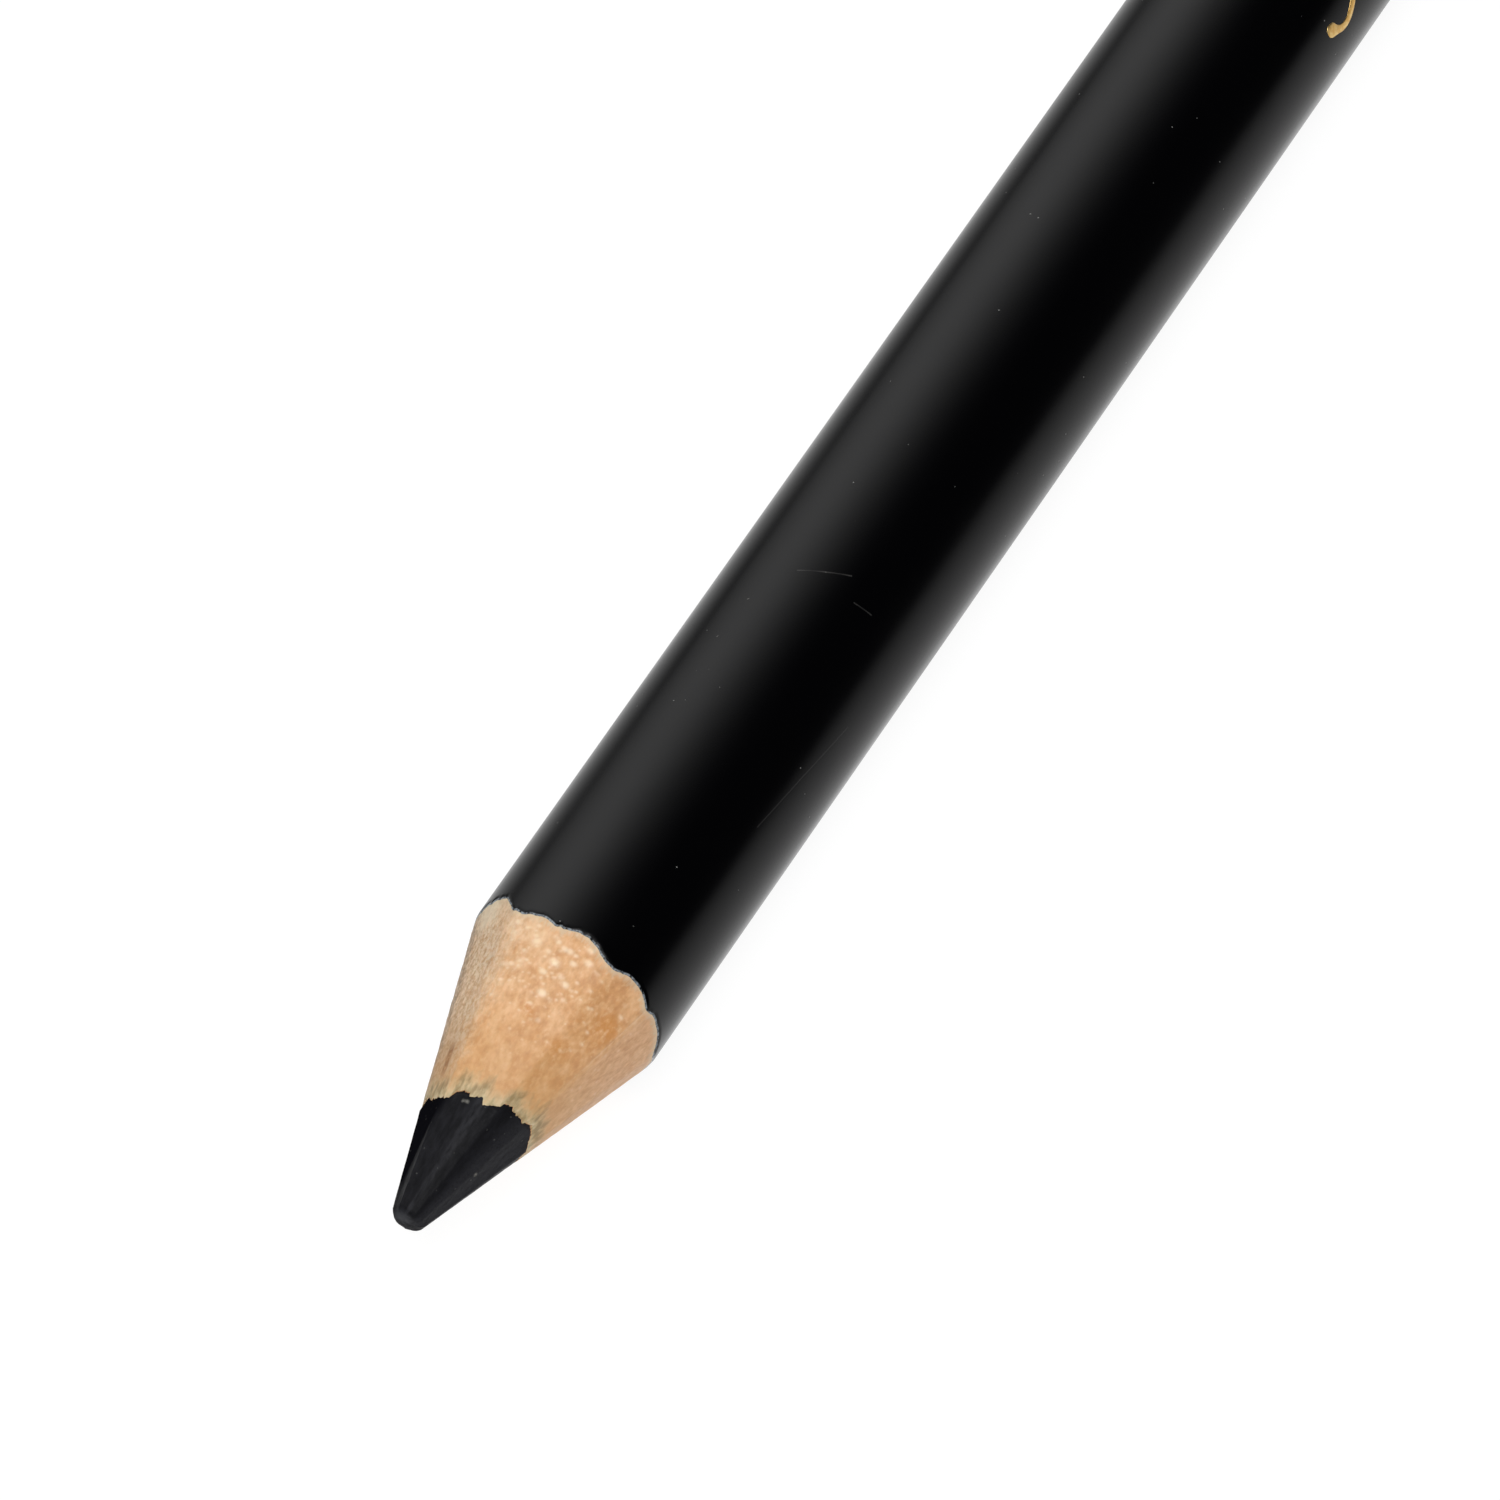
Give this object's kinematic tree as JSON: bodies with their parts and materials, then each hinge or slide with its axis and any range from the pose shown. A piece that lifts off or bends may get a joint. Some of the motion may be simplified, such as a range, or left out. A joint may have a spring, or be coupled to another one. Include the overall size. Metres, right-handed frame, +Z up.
{
  "type": "eyeliner pencil",
  "caption": "Round wood-cased eyeliner pencil, lacquered black, with a hand-sharpened point and a dipped, rounded rear end.",
  "frame": {"origin": "on the pencil's axis, halfway between the blunt point and the crown of the rounded end", "axes": "-X points out of the sharpened point along the axis, +Z is up and +Y is to the left of the point"},
  "size_m": [0.13, 0.0076, 0.0076],
  "materials": {
    "casing_wood": "waxy",
    "core_pigment": "matte",
    "black_lacquer": "gloss",
    "dip_lacquer": "gloss",
    "gold_foil": "satin"
  },
  "bodies": {
    "root": {"upper_casing_half": "casing_wood", "lower_casing_half": "casing_wood", "pigment_core": "core_pigment", "lacquer_coat": "black_lacquer", "dipped_end": "dip_lacquer"}
  },
  "joints": []
}
